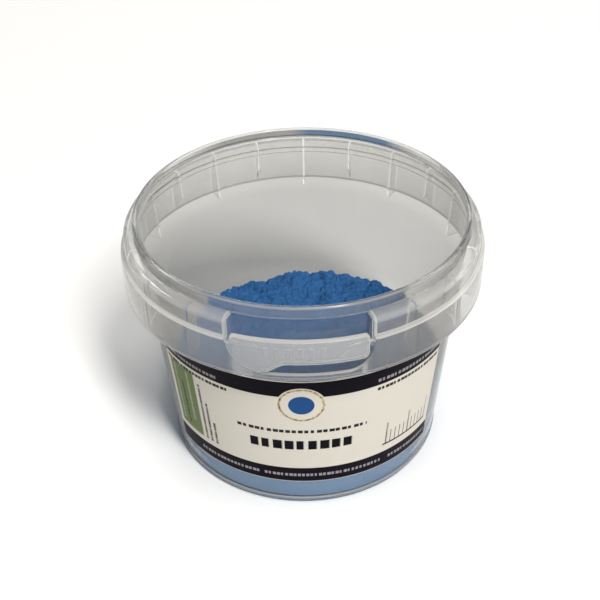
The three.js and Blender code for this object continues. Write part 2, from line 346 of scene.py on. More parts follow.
tear_lines = [as_object(turned_block(
    [(COLLAR_RADIUS - TEAR_DEPTH, COLLAR_BOTTOM - CUT_MARGIN),
     (COLLAR_RADIUS + CUT_MARGIN, COLLAR_BOTTOM - CUT_MARGIN),
     (COLLAR_RADIUS + CUT_MARGIN, TEAR_TOP), (COLLAR_RADIUS - TEAR_DEPTH, TEAR_TOP)],
    TEAR_HALF_ANGLE, 1, side * TEAR_ANGLE), "tear line") for side in (-1, 1)]
cut_or_join(collar, [gap, window, *tear_lines], "DIFFERENCE")

# Ribs. Thin plates between the collar and the cup, moulded with them. Every
# second one is short and slants out to the collar's edge; two close the gap's ends.
RIB_THICKNESS = 0.45
END_PLATE_THICKNESS = 0.8
END_PLATE_ANGLE = GAP_HALF_ANGLE + 0.3
RIB_PITCH = 18
FIRST_RIB = 36
SHORT_RIB_BOTTOM = 45.3
SHORT_RIB_FOOT = 1.2
# the ribs stand this far off whole degrees, so that none lies along a row of the
# cup's own edges, where it wouldn't join cleanly
RIB_TURN = 0.47


def rib(angle, is_long, thickness=RIB_THICKNESS):
    root = wall_outside(COLLAR_TOP) - WALL_THICKNESS / 2
    top = COLLAR_TOP - COLLAR_THICKNESS / 2
    upper = COLLAR_RADIUS - 1.5 * COLLAR_THICKNESS
    lower = COLLAR_RADIUS - COLLAR_THICKNESS / 2
    ledge = LEDGE_HEIGHT - COLLAR_THICKNESS / 2
    foot = COLLAR_BOTTOM + 0.2
    outline = [(root, top), (upper, top), (upper, ledge), (lower, ledge), (lower, foot)]
    if is_long:
        outline.append((wall_outside(foot) - WALL_THICKNESS / 2, foot))
    else:
        short_root = wall_outside(SHORT_RIB_BOTTOM) - WALL_THICKNESS / 2
        outline += [(lower - COLLAR_THICKNESS / 2, foot), (short_root + SHORT_RIB_FOOT, SHORT_RIB_BOTTOM),
                    (short_root, SHORT_RIB_BOTTOM)]
    solid = front_prism(outline, -thickness / 2, thickness / 2)
    lower_edges = [edge for edge in solid.edges
                   if max(vert.co.z for vert in edge.verts) < (SHORT_RIB_BOTTOM + 0.1) * MM]
    bmesh.ops.bevel(solid, geom=lower_edges, offset=0.2 * MM, offset_type="OFFSET", segments=2,
                    profile=0.5, affect="EDGES", material=-1)
    bmesh.ops.rotate(solid, verts=solid.verts, cent=(0, 0, 0),
                     matrix=Matrix.Rotation(math.radians(angle - 90), 3, "Z"))
    return as_object(solid, "rib")


ribs = [rib(angle + RIB_TURN, angle % (2 * RIB_PITCH) == 0)
        for angle in range(FIRST_RIB, 360 - FIRST_RIB + 1, RIB_PITCH)]
ribs += [rib(side * END_PLATE_ANGLE, True, END_PLATE_THICKNESS) for side in (-1, 1)]


def gathered(pieces, name):
    """Puts loose solids that don't touch into one object."""
    together = bmesh.new()
    for item in pieces:
        together.from_mesh(item.data)
        bpy.data.objects.remove(item)
    return as_object(together, name)


all_ribs = gathered(ribs, "ribs")

# Tear tab. A thicker curved plate in front of the window, moulded in one with
# the skirt at its left lobe and by a thin bridge at its right end.
TAB_HALF_WIDTH = 12.8
TAB_TOP = 50.4
TAB_BOTTOM = 45.1
TAB_FACE = 37.78
TAB_THICKNESS = 1.1
LOBE_CENTRE = (-6.5, 48.5)
LOBE_REACH = (7.0, 5.7)
LOBE_TURN, LOBE_STEPS = 82, 12
FLOW_LEFT, FLOW_WIDTH, FLOW_BOTTOM, FLOW_STEPS = -6.9, 4.6, 42.9, 8
BRIDGE_SIZE, BRIDGE_HALF_ANGLE, BRIDGE_MIDDLE = 0.9, 2.6, 20.6
RELIEF_TOP = 37.89
RELIEF_ROOT = 0.35
SEAM_TOP = 37.84
SEAM = [(-0.90, 45.6), (-0.80, 45.6), (-0.80, 50.0), (-0.90, 50.0)]
BARS_LEFT, BAR_PITCH, BAR_WIDTH, BAR_BOTTOM, BAR_TOP = -6.6, 2.1, 0.9, 46.2, 49.0
ARROW = [(7.3, 46.5), (7.7, 46.1), (9.6, 47.6), (10.1, 47.05), (11.4, 49.3), (8.7, 48.9), (9.2, 48.2)]
TAB_SLICE = 0.8
# the tab's arc is this much longer than its width
ARC_TO_WIDTH = 1.02


def bent(solid):
    """Bends a flat front plate round the tub: its width becomes an arc at the
    tab's face, and its distance in front the radius."""
    slices = math.ceil(2 * TAB_HALF_WIDTH / TAB_SLICE)
    for count in range(1, slices):
        cut = (-TAB_HALF_WIDTH + TAB_SLICE * count) * ARC_TO_WIDTH * MM
        bmesh.ops.bisect_plane(solid, geom=solid.verts[:] + solid.edges[:] + solid.faces[:], dist=1e-7,
                               plane_co=(cut, 0, 0), plane_no=(1, 0, 0))
    for vert in solid.verts:
        reach, angle = -vert.co.y, vert.co.x / (TAB_FACE * MM)
        vert.co.x, vert.co.y = reach * math.sin(angle), -reach * math.cos(angle)
    return solid


def along_tab(x):
    """The arc at the tab's face of a place that is x to the right of its middle."""
    return TAB_FACE * math.asin(x / TAB_FACE)


lobe = []
for step in range(LOBE_STEPS + 1):
    angle = math.radians(180 + LOBE_TURN * step / LOBE_STEPS)
    lobe.append((LOBE_CENTRE[0] + LOBE_REACH[0] * math.cos(angle),
                 LOBE_CENTRE[1] + LOBE_REACH[1] * math.sin(angle)))
flow = []
for step in range(1, FLOW_STEPS + 1):
    share = step / FLOW_STEPS
    rise = 3 * share ** 2 - 2 * share ** 3
    flow.append((FLOW_LEFT + FLOW_WIDTH * share, FLOW_BOTTOM + (TAB_BOTTOM - FLOW_BOTTOM) * rise))
tab_outline = [(-TAB_HALF_WIDTH, TAB_TOP), (-TAB_HALF_WIDTH, LOBE_CENTRE[1] + 0.3)] + \
    lobe + flow + [(TAB_HALF_WIDTH, TAB_BOTTOM), (TAB_HALF_WIDTH, TAB_TOP)]
tab_solid = front_prism([(along_tab(x), z) for x, z in tab_outline], -TAB_FACE, TAB_THICKNESS - TAB_FACE)
rounded_corner(tab_solid, along_tab(TAB_HALF_WIDTH), TAB_BOTTOM, 1.2, 5)
rounded_corner(tab_solid, along_tab(-TAB_HALF_WIDTH), TAB_TOP, 0.5, 3)
rounded_corner(tab_solid, along_tab(TAB_HALF_WIDTH), TAB_TOP, 0.7, 3)
outline_edges = [edge for edge in tab_solid.edges if abs(edge.verts[0].co.y - edge.verts[1].co.y) < 1e-7]
bmesh.ops.bevel(tab_solid, geom=outline_edges, offset=0.22 * MM, offset_type="OFFSET", segments=3,
                profile=0.5, affect="EDGES", material=-1)
tab = as_object(bent(tab_solid), "tab")


def relief(corners, height=RELIEF_TOP):
    """A low raised figure on the tab's face, from an outline in X and Z."""
    solid = front_prism([(along_tab(x), z) for x, z in corners], -height, RELIEF_ROOT - TAB_FACE)
    front_edges = [edge for edge in solid.edges
                   if all(vert.co.y < -(height - 0.01) * MM for vert in edge.verts)]
    bmesh.ops.bevel(solid, geom=front_edges, offset=0.05 * MM, offset_type="OFFSET", segments=1,
                    profile=0.5, affect="EDGES", material=-1)
    return as_object(bent(solid), "relief")


# a row of grip bars, an arrow that shows which way to pull, and a fine seam
marks = []
for count in range(6):
    left = BARS_LEFT + BAR_PITCH * count
    marks.append(relief([(left, BAR_BOTTOM), (left + BAR_WIDTH, BAR_BOTTOM),
                         (left + BAR_WIDTH, BAR_TOP), (left, BAR_TOP)]))
marks.append(relief(ARROW))
marks.append(relief(SEAM, SEAM_TOP))
all_marks = gathered(marks, "tab marks")

bridge = as_object(turned_block(
    [(upper_outside, LOBE_CENTRE[1] - BRIDGE_SIZE), (COLLAR_RADIUS, LOBE_CENTRE[1] - BRIDGE_SIZE),
     (COLLAR_RADIUS, LOBE_CENTRE[1]), (upper_outside, LOBE_CENTRE[1])],
    BRIDGE_HALF_ANGLE, 5, BRIDGE_MIDDLE), "bridge")

cut_or_join(cup, [collar, all_ribs, tab, bridge, all_marks], "UNION")
tub = cup
tub.name = "tub_moulding"
tub_solid = bmesh.new()
tub_solid.from_mesh(tub.data)
# corners that the joining left on top of each other are made one
bmesh.ops.remove_doubles(tub_solid, verts=tub_solid.verts, dist=5e-7)
bmesh.ops.dissolve_degenerate(tub_solid, dist=1e-6, edges=tub_solid.edges)
for face in tub_solid.faces:
    face.smooth = True
for edge in tub_solid.edges:
    edge.smooth = len(edge.link_faces) == 2 and edge.calc_face_angle(0) < SHARPEST_SMOOTH
tub_solid.to_mesh(tub.data)
tub_solid.free()


def node_in(tree, kind, **settings):
    made = tree.nodes.new(kind)
    for name, value in settings.items():
        setattr(made, name, value)
    return made


def wire(tree, start, end):
    tree.links.new(start, end)


def ramp(tree, source, low, high, to_low, to_high):
    """Maps a value from one range to another, and holds it at the ends."""
    made = node_in(tree, "ShaderNodeMapRange")
    for socket, value in (("From Min", low), ("From Max", high), ("To Min", to_low), ("To Max", to_high)):
        made.inputs[socket].default_value = value
    wire(tree, source, made.inputs["Value"])
    return made.outputs["Result"]


def cloudy(tree, vector, scale, detail, rough=0.5):
    made = node_in(tree, "ShaderNodeTexNoise")
    made.inputs["Scale"].default_value = scale
    made.inputs["Detail"].default_value = detail
    made.inputs["Roughness"].default_value = rough
    wire(tree, vector, made.inputs["Vector"])
    return made.outputs["Fac"]


def blend_colours(tree, share, first, second):
    """Mixes two colours, each a tuple or a socket, by the share of the second."""
    made = node_in(tree, "ShaderNodeMix", data_type="RGBA")
    for socket, value in ((made.inputs[6], first), (made.inputs[7], second)):
        if isinstance(value, tuple):
            socket.default_value = (*value, 1.0)
        else:
            wire(tree, value, socket)
    wire(tree, share, made.inputs[0])
    return made.outputs[2]


# faint clouds and streaks where the melt flowed, on every moulded face
moulded_face = bpy.data.node_groups.new("moulded face", "ShaderNodeTree")
for socket, kind in (("Place", "Vector"), ("Dull Tint", "Color"), ("Clear Tint", "Color"),
                     ("Least Roughness", "Float"), ("Most Roughness", "Float")):
    moulded_face.interface.new_socket(socket, in_out="INPUT", socket_type="NodeSocket" + kind)
for socket, kind in (("Tint", "Color"), ("Roughness", "Float"), ("Normal", "Vector")):
    moulded_face.interface.new_socket(socket, in_out="OUTPUT", socket_type="NodeSocket" + kind)
given = node_in(moulded_face, "NodeGroupInput").outputs
result = node_in(moulded_face, "NodeGroupOutput").inputs
streaks = node_in(moulded_face, "ShaderNodeMapping")
streaks.inputs["Scale"].default_value = (1.0, 1.0, 0.12)
wire(moulded_face, given["Place"], streaks.inputs["Vector"])
melt_flow = cloudy(moulded_face, streaks.outputs["Vector"], 260.0, 4.0, 0.55)
haze = cloudy(moulded_face, given["Place"], 55.0, 2.0, 0.5)
wire(moulded_face, blend_colours(moulded_face, haze, given["Dull Tint"], given["Clear Tint"]), result["Tint"])
spread_out = ramp(moulded_face, melt_flow, 0.3, 0.7, 0.0, 1.0)
uneven = node_in(moulded_face, "ShaderNodeMix", data_type="FLOAT")
wire(moulded_face, spread_out, uneven.inputs[0])
wire(moulded_face, given["Least Roughness"], uneven.inputs[2])
wire(moulded_face, given["Most Roughness"], uneven.inputs[3])
wire(moulded_face, uneven.outputs[0], result["Roughness"])
ripple = node_in(moulded_face, "ShaderNodeBump")
ripple.inputs["Strength"].default_value = 0.08
ripple.inputs["Distance"].default_value = 0.0002
wire(moulded_face, melt_flow, ripple.inputs["Height"])
wire(moulded_face, ripple.outputs["Normal"], result["Normal"])


# the bead's tint at the front and sides; at the back it is darkened by painted shade and tinted blue by a
# painted reflection
SIDE_TINT = (0.60, 0.60, 0.59)
# across the bead's back, the painted blue reflection fades in over the first span and out over the second
REFLECTION_FADES_IN, REFLECTION_FADES_OUT = (-4.0, 1.0), (24.0, 18.0)
# going back, the painted shade takes over from SIDE_TINT over this span
PAINTED_SHADE_BACKWARD = (16.0, 28.0)
# what a wall lets through of the light that table, paper and powder scatter
SCATTERED_THROUGH = (0.92, 0.92, 0.91)
# where the wall under the label begins, toward the front and down from the
# label's upper edge
UNDER_LABEL_DEPTH, UNDER_LABEL_HEIGHT = (-16.5, -18.0), (36.8, 36.0)


def clear_plastic(name, passing, tints, roughness, gloss, lit, deep=0.9, bands=None, painted_reflection_blue=None, bend=1.09):
    """Polypropylene that light passes straight through on its way to other things:
    lit is the share of a lamp's light. The tint wanders between two tints, and is
    darker by the share deep where a face is seen along it. A piece with (height,
    share) bands has its tint and lit scaled by them, except under the label. With a
    colour given for the bead, the tints are kept at the back alone as painted shade,
    that colour is mixed in a little to the right as a painted reflection, and the
    rest is SIDE_TINT."""
    made = bpy.data.materials.new(name)
    made.use_nodes = True
    tree = made.node_tree
    shader = tree.nodes["Principled BSDF"]
    shader.inputs["Transmission Weight"].default_value = passing
    shader.inputs["IOR"].default_value = bend
    shader.inputs["Coat Weight"].default_value = gloss
    shader.inputs["Coat Roughness"].default_value = 0.07
    in_piece = node_in(tree, "ShaderNodeTexCoord").outputs["Object"]
    place = node_in(tree, "ShaderNodeSeparateXYZ")
    wire(tree, in_piece, place.inputs["Vector"])
    face = node_in(tree, "ShaderNodeGroup", node_tree=moulded_face)
    wire(tree, in_piece, face.inputs["Place"])
    for socket, value in (("Dull Tint", tints[0]), ("Clear Tint", tints[1])):
        face.inputs[socket].default_value = (*value, 1.0)
    face.inputs["Least Roughness"].default_value, face.inputs["Most Roughness"].default_value = roughness
    slant = node_in(tree, "ShaderNodeLayerWeight")
    slant.inputs["Blend"].default_value = 0.5
    along = ramp(tree, slant.outputs["Facing"], 0.3, 0.85, 0.0, 1.0)
    colour = blend_colours(tree, along, face.outputs["Tint"], tuple(value * deep for value in tints[0]))
    if painted_reflection_blue:
        reflection_share = node_in(tree, "ShaderNodeMath", operation="MULTIPLY")
        for edge, socket in ((REFLECTION_FADES_IN, reflection_share.inputs[0]), (REFLECTION_FADES_OUT, reflection_share.inputs[1])):
            wire(tree, ramp(tree, place.outputs["X"], edge[0] * MM, edge[1] * MM, 0.0, 1.0), socket)
        colour = blend_colours(tree, reflection_share.outputs[0], colour, painted_reflection_blue)
        at_back = ramp(tree, place.outputs["Y"], PAINTED_SHADE_BACKWARD[0] * MM, PAINTED_SHADE_BACKWARD[1] * MM, 0.0, 1.0)
        colour = blend_colours(tree, at_back, SIDE_TINT, colour)
    if bands:
        scale = node_in(tree, "ShaderNodeValToRGB")
        wire(tree, ramp(tree, place.outputs["Z"], 0.0, TUB_HEIGHT * MM, 0.0, 1.0), scale.inputs["Fac"])
        stops = scale.color_ramp.elements
        while len(stops) < len(bands):
            stops.new(0.5)
        for stop, (height, share) in zip(stops, bands):
            stop.position = height / TUB_HEIGHT
            stop.color = (share, share, share, 1.0)
        under_label = node_in(tree, "ShaderNodeMath", operation="MULTIPLY")
        for axis, edge, socket in (("Y", UNDER_LABEL_DEPTH, under_label.inputs[0]),
                                   ("Z", UNDER_LABEL_HEIGHT, under_label.inputs[1])):
            wire(tree, ramp(tree, place.outputs[axis], edge[0] * MM, edge[1] * MM, 0.0, 1.0), socket)
        haze_scale = blend_colours(tree, under_label.outputs[0], scale.outputs["Color"], (1.0, 1.0, 1.0))
        scaled = node_in(tree, "ShaderNodeMix", data_type="RGBA", blend_type="MULTIPLY")
        scaled.inputs[0].default_value = 1.0
        wire(tree, colour, scaled.inputs[6])
        wire(tree, haze_scale, scaled.inputs[7])
        colour = scaled.outputs[2]
        lit = blend_colours(tree, haze_scale, (0.0, 0.0, 0.0), lit)
    wire(tree, colour, shader.inputs["Base Color"])
    wire(tree, face.outputs["Roughness"], shader.inputs["Roughness"])
    wire(tree, face.outputs["Normal"], shader.inputs["Normal"])
    ray = node_in(tree, "ShaderNodeLightPath")
    through = node_in(tree, "ShaderNodeBsdfTransparent")
    let_through = blend_colours(tree, ray.outputs["Is Diffuse Ray"], lit, SCATTERED_THROUGH)
    wire(tree, let_through, through.inputs["Color"])
    lighting = node_in(tree, "ShaderNodeMath", operation="MAXIMUM")
    wire(tree, ray.outputs["Is Shadow Ray"], lighting.inputs[0])
    wire(tree, ray.outputs["Is Diffuse Ray"], lighting.inputs[1])
    either = node_in(tree, "ShaderNodeMixShader")
    wire(tree, lighting.outputs[0], either.inputs[0])
    wire(tree, shader.outputs[0], either.inputs[1])
    wire(tree, through.outputs[0], either.inputs[2])
    wire(tree, either.outputs[0], tree.nodes["Material Output"].inputs["Surface"])
    return made


LIT_THROUGH_WALL = (0.74, 0.74, 0.74)
LIT_THROUGH = (0.36, 0.36, 0.355)
GLASSY, SMOOTH, SATIN, DULL = (0.07, 0.11), (0.13, 0.17), (0.15, 0.19), (0.20, 0.26)
# the wall is greyest halfway up, partly its own tint and partly painted shade for the table's shadow seen
# through it: each band is a height and the share of tint left
WALL_BANDS = (15.2, 1.0), (16.0, 0.76), (21.0, 0.665), (40.0, 0.665), (50.0, 0.90)

tub.data.materials.clear()
for finish in (
    clear_plastic("thin clear polypropylene", 0.96, ((0.82, 0.815, 0.795), (0.90, 0.895, 0.875)),
                  GLASSY, 0.35, LIT_THROUGH_WALL, bands=WALL_BANDS),
    clear_plastic("milky polypropylene", 0.93, ((0.84, 0.835, 0.82), (0.90, 0.895, 0.88)),
                  SATIN, 0.5, LIT_THROUGH, 0.45),
    clear_plastic("milky shoulder", 0.76, ((0.80, 0.795, 0.78), (0.86, 0.855, 0.84)),
                  SATIN, 0.5, LIT_THROUGH, 0.8),
    # the bead's dark tints are painted shade at its back, and its blue there a painted reflection
    clear_plastic("shaded bead", 0.92, ((0.11, 0.11, 0.11), (0.18, 0.18, 0.175)),
                  SMOOTH, 0.5, LIT_THROUGH, 0.9, painted_reflection_blue=(0.022, 0.055, 0.125)),
    clear_plastic("rib of milky polypropylene", 0.94, ((0.95, 0.945, 0.93), (0.98, 0.975, 0.96)),
                  SATIN, 0.2, LIT_THROUGH, 1.0, bend=1.03),
    clear_plastic("light-catching edge", 0.55, ((0.74, 0.725, 0.69), (0.82, 0.805, 0.77)),
                  DULL, 0.5, LIT_THROUGH),
    clear_plastic("rounded lip", 0.70, ((0.62, 0.62, 0.61), (0.74, 0.74, 0.73)),
                  SMOOTH, 0.5, LIT_THROUGH),
    # the foot's blue tint is a painted reflection of the powder above it, which the thick foot shows
    clear_plastic("thick blue-lit foot", 0.60, ((0.33, 0.41, 0.52), (0.38, 0.47, 0.59)),
                  DULL, 0.3, LIT_THROUGH),
):
    tub.data.materials.append(finish)

# each face gets the finish of its part of the moulding, and the rounded edges
# between square faces get the bright one
THIN, MILKY, SHOULDER, BEAD, RIB, EDGE, LIP, FOOT = range(8)
COLLAR_FROM_RADIUS = 34.75
SHOULDER_DEPTH = 1.3
GAP_END_WIDTH = 0.7
SQUARE_ON_RIM, SQUARE_ON_COLLAR = 0.98, 0.975
for face in tub.data.polygons:
    reach, height = face.center.xy.length / MM, face.center.z / MM
    turn = math.degrees(math.atan2(face.center.x, -face.center.y))
    outward = Vector((face.center.x, face.center.y, 0.0)).normalized()
    sideways = Vector((-outward.y, outward.x, 0.0))
    squarest = max(abs(face.normal.dot(outward)), abs(face.normal.z), abs(face.normal.dot(sideways)))
    on_step = face.normal.z > 0.9 and upper_outside - 0.1 < reach and height < COLLAR_TOP - 1
    on_shoulder = height > COLLAR_TOP - SHOULDER_DEPTH and reach < upper_outside + 0.1
    near_tab = abs(turn) < GAP_HALF_ANGLE - 1.5 and height > TAB_BOTTOM - 2.5
    if height < RIDGE_HEIGHTS[0]:
        finish = FOOT
    elif height < RIDGE_END and reach > FOOT_RADIUS:
        finish = LIP
    elif reach < COLLAR_FROM_RADIUS and height < rim_bottom:
        finish = THIN
    elif reach < COLLAR_FROM_RADIUS:
        finish = LIP if squarest < SQUARE_ON_RIM else BEAD if face.normal.dot(outward) < -0.9 else MILKY
    elif height > LEDGE_HEIGHT - COLLAR_THICKNESS and abs(abs(turn) - GAP_HALF_ANGLE) < GAP_END_WIDTH:
        finish = EDGE
    elif squarest > SQUARE_ON_COLLAR and near_tab:
        finish = SHOULDER if not on_step else EDGE
    elif on_step or (squarest < SQUARE_ON_COLLAR and not on_shoulder and reach > upper_inside + 0.2):
        finish = EDGE
    elif on_shoulder:
        finish = SHOULDER
    elif abs(face.normal.dot(sideways)) > 0.9:
        finish = RIB
    else:
        finish = MILKY
    face.material_index = finish
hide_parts("tub")
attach(tub, "root")

# Label. One strip of coated cream paper stuck round the front of the cup,
# printed with black bands, a ring, bars and rules.
LABEL_BOTTOM = 7.3
LABEL_TOP = 36.9
LABEL_HALF_ANGLE = 58.5
LABEL_GAP = 0.06
LABEL_THICKNESS = 0.14
LABEL_SPREAD_RADIUS = 31.5
# the strip's back and edges read the pattern this far below it, where it is plain
PLAIN_SHEET = 80.0

label_solid = turned_block(
    [(wall_outside(LABEL_BOTTOM) + LABEL_GAP, LABEL_BOTTOM),
     (wall_outside(LABEL_BOTTOM) + LABEL_GAP + LABEL_THICKNESS, LABEL_BOTTOM),
     (wall_outside(LABEL_TOP) + LABEL_GAP + LABEL_THICKNESS, LABEL_TOP),
     (wall_outside(LABEL_TOP) + LABEL_GAP, LABEL_TOP)], LABEL_HALF_ANGLE, 96)
spread = label_solid.loops.layers.uv.new("unrolled")
for face in label_solid.faces:
    face.smooth = True
    in_front = face.normal.xy.dot(face.calc_center_median().xy.normalized()) > 0.5
    for loop in face.loops:
        up_sheet = loop.vert.co.z / MM if in_front else loop.vert.co.z / MM - PLAIN_SHEET
        loop[spread].uv = (math.radians(around(loop.vert)) * LABEL_SPREAD_RADIUS, up_sheet)
for edge in label_solid.edges:
    edge.smooth = len(edge.link_faces) == 2 and edge.calc_face_angle(0) < SHARPEST_SMOOTH
label = as_object(label_solid, "paper_label")

printed_block = bpy.data.node_groups.new("printed block", "ShaderNodeTree")
for socket in ("Across", "Up", "Left", "Right", "Bottom", "Top"):
    printed_block.interface.new_socket(socket, in_out="INPUT", socket_type="NodeSocketFloat")
printed_block.interface.new_socket("Mask", in_out="OUTPUT", socket_type="NodeSocketFloat")
INK_EDGE = 0.07
DASH_EDGE = 0.12


def sum_of(tree, how, first, second, clamp=False):
    """One step of arithmetic on two values, each a number or a socket."""
    made = node_in(tree, "ShaderNodeMath", operation=how, use_clamp=clamp)
    for socket, value in zip(made.inputs, (first, second)):
        if isinstance(value, (int, float)):
            socket.default_value = value
        else:
            wire(tree, value, socket)
    return made.outputs[0]


inside = node_in(printed_block, "NodeGroupInput").outputs
outside = node_in(printed_block, "NodeGroupOutput").inputs
shares = []
for low, high in ((inside["Left"], inside["Across"]), (inside["Across"], inside["Right"]),
                  (inside["Bottom"], inside["Up"]), (inside["Up"], inside["Top"])):
    gap_between = sum_of(printed_block, "SUBTRACT", high, low)
    shares.append(sum_of(printed_block, "ADD", sum_of(printed_block, "DIVIDE", gap_between, INK_EDGE),
                         0.5, True))
both_ways = [sum_of(printed_block, "MULTIPLY", *shares[:2]), sum_of(printed_block, "MULTIPLY", *shares[2:])]
wire(printed_block, sum_of(printed_block, "MULTIPLY", *both_ways), outside["Mask"])

paper = bpy.data.materials.new("printed cream paper")
paper.use_nodes = True
tree = paper.node_tree
shader = tree.nodes["Principled BSDF"]
unrolled = node_in(tree, "ShaderNodeUVMap", uv_map="unrolled").outputs["UV"]
split = node_in(tree, "ShaderNodeSeparateXYZ")
wire(tree, unrolled, split.inputs["Vector"])
across, upward = split.outputs["X"], split.outputs["Y"]


def block(left, right, bottom, top):
    """A printed rectangle, in millimetres from the front's middle and the foot."""
    made = node_in(tree, "ShaderNodeGroup", node_tree=printed_block)
    wire(tree, across, made.inputs["Across"])
    wire(tree, upward, made.inputs["Up"])
    for socket, value in (("Left", left), ("Right", right), ("Bottom", bottom), ("Top", top)):
        made.inputs[socket].default_value = value
    return made.outputs["Mask"]


def dashes(left, right, bottom, top, pitch, fill, uneven=0.0, upright=False):
    """A row of short bars: pitch from one to the next, fill the least inked share,
    uneven how much more some have."""
    run = upward if upright else across
    start = bottom if upright else left
    steps = sum_of(tree, "DIVIDE", sum_of(tree, "SUBTRACT", run, start), pitch)
    part = sum_of(tree, "FRACT", steps, 0.0)
    inked = fill
    if uneven:
        chance = node_in(tree, "ShaderNodeTexWhiteNoise", noise_dimensions="1D")
        wire(tree, sum_of(tree, "FLOOR", steps, 0.0), chance.inputs["W"])
        inked = sum_of(tree, "ADD", sum_of(tree, "MULTIPLY", chance.outputs["Value"], uneven), fill)
    into_bar = sum_of(tree, "DIVIDE", sum_of(tree, "SUBTRACT", inked, part), DASH_EDGE)
    on = sum_of(tree, "ADD", into_bar, 0.5, True)
    return sum_of(tree, "MULTIPLY", on, block(left, right, bottom, top))


def from_ring_centre(height):
    aside = sum_of(tree, "POWER", across, 2.0)
    above = sum_of(tree, "POWER", sum_of(tree, "SUBTRACT", upward, height), 2.0)
    return sum_of(tree, "SQRT", sum_of(tree, "ADD", aside, above), 0.0)


def disc(distance, radius):
    gap_inside = sum_of(tree, "SUBTRACT", radius, distance)
    return sum_of(tree, "ADD", sum_of(tree, "DIVIDE", gap_inside, INK_EDGE), 0.5, True)


CREAM = (0.670, 0.635, 0.560)
BLACK = (0.0035, 0.002, 0.006)
GOLD_DARK, GOLD_LIGHT = (0.16, 0.11, 0.045), (0.62, 0.50, 0.28)
SWATCH_BLUE = (0.016, 0.075, 0.230)
GREEN, PALE_GREEN, DEEP_GREEN = (0.15, 0.20, 0.085), (0.36, 0.38, 0.27), (0.05, 0.06, 0.035)
DIM = (0.30, 0.28, 0.31)
DARK = (0.018, 0.016, 0.020)
RULE_BLACK = (0.05, 0.05, 0.05)
RING_HEIGHT = 30.4

fibres = cloudy(tree, unrolled, 3.5, 5.0, 0.65)
cream = blend_colours(tree, fibres, tuple(value * 0.95 for value in CREAM),
                      tuple(value * 1.05 for value in CREAM))
brushed = ramp(tree, cloudy(tree, unrolled, 1.3, 2.0), 0.35, 0.65, 0.0, 1.0)
gold = blend_colours(tree, brushed, GOLD_DARK, GOLD_LIGHT)
to_centre = from_ring_centre(RING_HEIGHT)
ring = sum_of(tree, "SUBTRACT", disc(to_centre, 4.5), disc(to_centre, 4.05))
layers = [
    (block(-33.0, 33.0, 7.42, 11.6), BLACK),
    (block(-33.0, 33.0, 32.6, 36.75), BLACK),
    (disc(to_centre, 4.75), cream),
    (ring, gold),
    (disc(to_centre, 2.5), SWATCH_BLUE),
    (dashes(-13.3, 13.2, 22.35, 23.2, 1.25, 0.5, 0.4), DARK),
    (dashes(-10.8, 10.7, 17.4, 20.0, 2.4, 0.62, 0.2), BLACK),
    (block(-31.0, -23.4, 13.0, 31.2), GREEN),
    (dashes(-30.0, -29.3, 14.5, 30.4, 0.95, 0.5, 0.4, True), PALE_GREEN),
    (dashes(-27.9, -27.2, 14.5, 27.0, 0.95, 0.5, 0.4, True), DEEP_GREEN),
    (dashes(-25.9, -25.2, 16.5, 30.4, 0.95, 0.5, 0.4, True), PALE_GREEN),
]
for left, top in ((-22.5, 29.0), (-21.1, 24.5), (-19.7, 19.5)):
    layers.append((dashes(left, left + 0.6, 13.2, top, 0.8, 0.5, 0.4, True), DARK))
layers += [
    (block(17.6, 30.6, 13.6, 14.05), DARK),
    (dashes(18.2, 30.4, 14.0, 17.6, 1.2, 0.16), RULE_BLACK),
    (dashes(18.2, 30.4, 14.0, 20.2, 6.0, 0.045), RULE_BLACK),
]
for left, right, bottom in ((-24.5, -9.5, 9.0), (-8.3, 17.5, 9.0), (19.5, 31.5, 9.0),
                            (-31.8, -17.0, 33.4), (15.0, 31.8, 33.5)):
    layers.append((dashes(left, right, bottom, bottom + 0.8, 0.9, 0.45, 0.4), DIM))
for left, right in ((-31.5, -14.5), (15.0, 31.5)):
    layers.append((dashes(left, right, 31.1, 31.9, 0.9, 0.55, 0.4), DARK))
colour = cream
for mask, ink in layers:
    colour = blend_colours(tree, mask, colour, ink)
wire(tree, colour, shader.inputs["Base Color"])
shader.inputs["Specular IOR Level"].default_value = 0.04
shader.inputs["Subsurface Weight"].default_value = 0.45
shader.inputs["Subsurface Radius"].default_value = (1.0, 1.0, 1.0)
shader.inputs["Subsurface Scale"].default_value = 0.0005
wire(tree, ramp(tree, fibres, 0.3, 0.7, 0.38, 0.52), shader.inputs["Roughness"])
tooth = node_in(tree, "ShaderNodeBump")
tooth.inputs["Strength"].default_value = 0.10
tooth.inputs["Distance"].default_value = 0.0001
wire(tree, fibres, tooth.inputs["Height"])
wire(tree, tooth.outputs["Normal"], shader.inputs["Normal"])
label.data.materials.append(paper)
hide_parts("label")
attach(label, "root")

# Pigment. A bed of finely ground azurite, loose in the cup, nearly level, with
# soft clods that stand out most along the back wall.
POWDER_LEVEL = 16.8
POWDER_TILT = 0.035
POWDER_GAP = 0.12
POWDER_CELLS = 250
BED_ROUNDING = 0.15
BED_CLEARANCE = 0.04
LUMP_BASE = 0.60
# each size of clod: its height, the share of it that the flatter powder keeps,
# the spacing, a seed, and the share of its cell that it takes
CLODS = ((1.35, 0.0, 3.1, 0.4, 0.75), (1.00, 0.0, 1.7, 5.2, 0.78),
         (0.50, 0.3, 0.95, 9.1, 0.8), (0.26, 0.5, 0.55, 13.7, 0.85))

bed = bmesh.new()
bmesh.ops.create_grid(bed, x_segments=POWDER_CELLS, y_segments=POWDER_CELLS, size=1.0)
rim_edges = [edge for edge in bed.edges if edge.is_boundary]
# the square grid is drawn out to a round one
for vert in bed.verts:
    across_square, along_square = vert.co.x, vert.co.y
    vert.co.x = across_square * math.sqrt(1 - along_square ** 2 / 2)
    vert.co.y = along_square * math.sqrt(1 - across_square ** 2 / 2)


